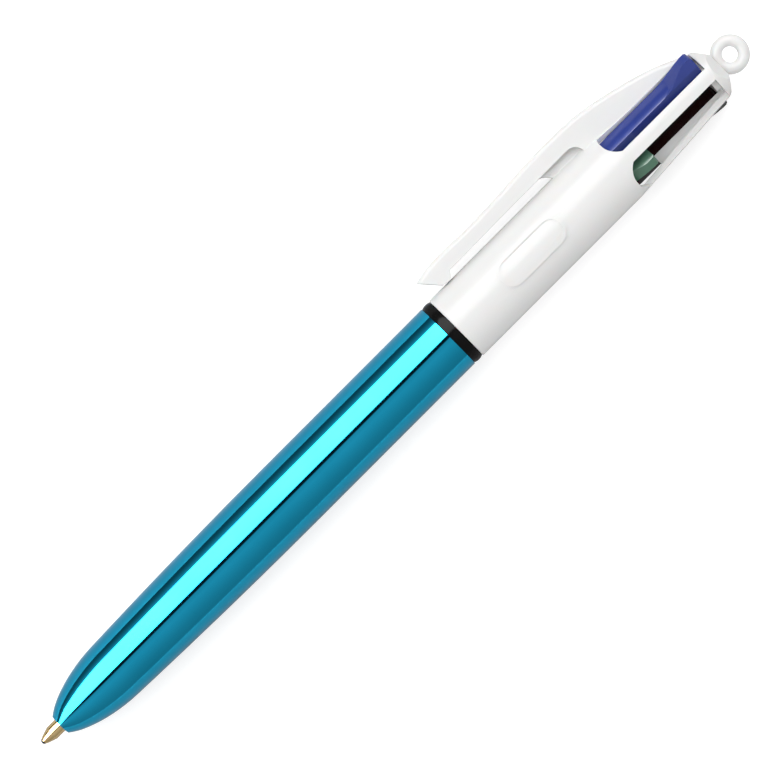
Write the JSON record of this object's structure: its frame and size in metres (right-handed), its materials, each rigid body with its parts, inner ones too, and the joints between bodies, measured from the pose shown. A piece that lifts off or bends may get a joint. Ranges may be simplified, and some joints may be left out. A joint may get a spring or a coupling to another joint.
{
  "type": "multicolor click pen",
  "caption": "Retractable pen with a thumb slider for each ink colour, a pocket clip, a lanyard ring and a rounded metallic front barrel.",
  "frame": {"origin": "on the pen's axis, at the rear end of the lower barrel, where it meets the trim ring", "axes": "+X along the pen's axis from the writing end to the lanyard ring, +Y towards the pocket clip, +Z along the lanyard hole's axis, up when the pen lies on its side with the badge uppermost"},
  "size_m": [0.1506, 0.016, 0.0118],
  "materials": {
    "teal_mirror": "metallised teal, mirror finish",
    "black_trim": "black moulded plastic",
    "black_inner": "black moulded plastic",
    "white_gloss": "smooth white moulded plastic",
    "spring_steel": "bright spring wire",
    "clear_tube": "clear extruded plastic",
    "brass_point": "turned and polished",
    "ball_metal": "ground hard metal, dark",
    "blue_plastic": "glossy moulded plastic",
    "blue_ink": "ballpoint paste seen through the tube",
    "green_plastic": "glossy moulded plastic",
    "green_ink": "ballpoint paste seen through the tube",
    "black_plastic": "glossy moulded plastic",
    "black_ink": "ballpoint paste seen through the tube",
    "red_plastic": "glossy moulded plastic",
    "red_ink": "ballpoint paste seen through the tube"
  },
  "bodies": {
    "pen_body": {"upper_barrel": "white_gloss", "connector": "black_inner", "blue_spring": "spring_steel", "green_spring": "spring_steel", "black_spring": "spring_steel", "red_spring": "spring_steel"},
    "ring_body": {"trim_ring": "black_trim"},
    "front_body": {"lower_barrel": "teal_mirror"},
    "blue_refill": {"blue_refill_tube": "clear_tube", "blue_ink_column": "blue_ink", "blue_writing_tip": "brass_point"},
    "blue_thumb": {"blue_slider": "blue_plastic"},
    "blue_ball": {"blue_tip_ball": "ball_metal"},
    "green_refill": {"green_refill_tube": "clear_tube", "green_ink_column": "green_ink"},
    "green_thumb": {"green_slider": "green_plastic"},
    "green_point": {"green_writing_tip": "brass_point"},
    "green_ball": {"green_tip_ball": "ball_metal"},
    "black_refill": {"black_refill_tube": "clear_tube", "black_ink_column": "black_ink", "black_writing_tip": "brass_point"},
    "black_thumb": {"black_slider": "black_plastic"},
    "black_ball": {"black_tip_ball": "ball_metal"},
    "red_refill": {"red_refill_tube": "clear_tube", "red_ink_column": "red_ink", "red_writing_tip": "brass_point"},
    "red_thumb": {"red_slider": "red_plastic"},
    "red_ball": {"red_tip_ball": "ball_metal"}
  },
  "joints": [
    {"name": "blue_slide", "type": "slide", "parent": "pen_body", "child": "blue_refill", "axis": [1, 0, 0], "range_m": [-0.004, 0], "deforming": ["blue_spring"]},
    {"name": "blue_thumb_tilt", "type": "hinge", "parent": "blue_refill", "child": "blue_thumb", "pos_m": [0.0283, 0.00191, 0.00191], "axis": [0, -0.7071, 0.7071], "range_deg": [-0.9515, 0]},
    {"name": "blue_ball_roll", "type": "hinge", "parent": "blue_refill", "child": "blue_ball", "pos_m": [-0.07226, 0.00191, 0.00191], "axis": [0, -0.7071, 0.7071], "continuous": true},
    {"name": "green_slide", "type": "slide", "parent": "pen_body", "child": "green_refill", "axis": [1, 0, 0], "range_m": [0, 0.0143], "deforming": ["green_spring", "green_refill_tube", "green_ink_column"]},
    {"name": "green_thumb_tilt", "type": "hinge", "parent": "green_refill", "child": "green_thumb", "pos_m": [0.014, -0.00191, 0.00191], "axis": [0, -0.7071, -0.7071], "range_deg": [0, 3.4]},
    {"name": "green_point_shift", "type": "slide", "parent": "green_refill", "child": "green_point", "axis": [0, -0.7071, 0.7071], "range_m": [0, 0.0027]},
    {"name": "green_ball_roll", "type": "hinge", "parent": "green_point", "child": "green_ball", "pos_m": [-0.08656, 0, 0], "axis": [0, -0.7071, -0.7071], "continuous": true},
    {"name": "black_slide", "type": "slide", "parent": "pen_body", "child": "black_refill", "axis": [1, 0, 0], "range_m": [-0.004, 0], "deforming": ["black_spring"]},
    {"name": "black_thumb_tilt", "type": "hinge", "parent": "black_refill", "child": "black_thumb", "pos_m": [0.0283, -0.00191, -0.00191], "axis": [0, 0.7071, -0.7071], "range_deg": [-0.9515, 0]},
    {"name": "black_ball_roll", "type": "hinge", "parent": "black_refill", "child": "black_ball", "pos_m": [-0.07226, -0.00191, -0.00191], "axis": [0, 0.7071, -0.7071], "continuous": true},
    {"name": "red_slide", "type": "slide", "parent": "pen_body", "child": "red_refill", "axis": [1, 0, 0], "range_m": [-0.004, 0], "deforming": ["red_spring"]},
    {"name": "red_thumb_tilt", "type": "hinge", "parent": "red_refill", "child": "red_thumb", "pos_m": [0.0283, 0.00191, -0.00191], "axis": [0, 0.7071, 0.7071], "range_deg": [-0.9515, 0]},
    {"name": "red_ball_roll", "type": "hinge", "parent": "red_refill", "child": "red_ball", "pos_m": [-0.07226, 0.00191, -0.00191], "axis": [0, 0.7071, 0.7071], "continuous": true},
    {"name": "barrel_twist", "type": "hinge", "parent": "pen_body", "child": "ring_body", "pos_m": [0, 0, 0], "axis": [-1, 0, 0], "range_deg": [0, 1081]},
    {"name": "barrel_advance", "type": "slide", "parent": "ring_body", "child": "front_body", "axis": [-1, 0, 0], "range_m": [0, 0.0048]}
  ],
  "couplings": [
    {"joint": "blue_thumb_tilt", "follows": "blue_slide", "rad_per_m": 4.1497},
    {"joint": "green_thumb_tilt", "follows": "green_slide", "rad_per_m": 4.1497},
    {"joint": "green_point_shift", "follows": "green_slide", "ratio": 0.18881},
    {"joint": "black_thumb_tilt", "follows": "black_slide", "rad_per_m": 4.1497},
    {"joint": "red_thumb_tilt", "follows": "red_slide", "rad_per_m": 4.1497},
    {"joint": "barrel_twist", "follows": "barrel_advance", "rad_per_m": 3927}
  ]
}
